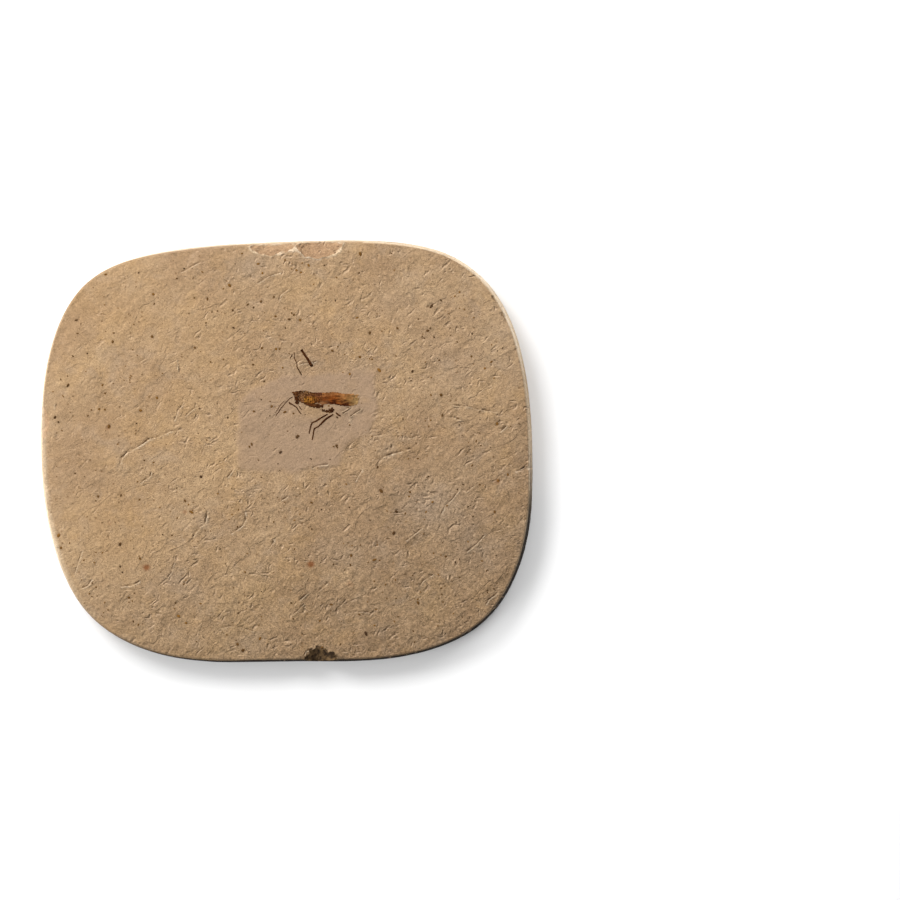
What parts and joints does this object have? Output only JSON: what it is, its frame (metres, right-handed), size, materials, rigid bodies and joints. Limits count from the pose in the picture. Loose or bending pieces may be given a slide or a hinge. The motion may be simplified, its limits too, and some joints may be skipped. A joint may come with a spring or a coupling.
{
  "type": "fossil grasshopper slab",
  "caption": "Thin rounded slab of tan laminated limestone with a small grasshopper fossil on its face, lying on its side, with torn leg pieces above it.",
  "frame": {"origin": "under the middle of the slab, on the plane of its flat back", "axes": "+X along the slab's length, the way the insect's wing tips point; +Y across it, towards the insect's back; +Z out of the face"},
  "size_m": [0.1649, 0.1415, 0.0104],
  "materials": {
    "limestone": "matt split face with fine pits and specks",
    "dark_fossil": "dark iron-stained film, slightly satin",
    "golden_fossil": "golden-brown iron-stained film, slightly satin",
    "amber_fossil": "orange-brown iron-stained film, slightly satin"
  },
  "bodies": {
    "root": {"slab": "limestone", "head": "dark_fossil", "pronotum": "dark_fossil", "thorax": "golden_fossil", "leg_bases": "dark_fossil", "forewings": "amber_fossil", "hip": "dark_fossil", "antenna_near": "dark_fossil", "antenna_far": "dark_fossil", "foreleg_near": "dark_fossil", "foreleg_far": "dark_fossil", "middle_leg": "dark_fossil", "hind_leg": "dark_fossil", "leg_stub": "dark_fossil", "loose_femur": "dark_fossil", "loose_tibia": "dark_fossil", "loose_tarsus": "dark_fossil"}
  },
  "joints": []
}
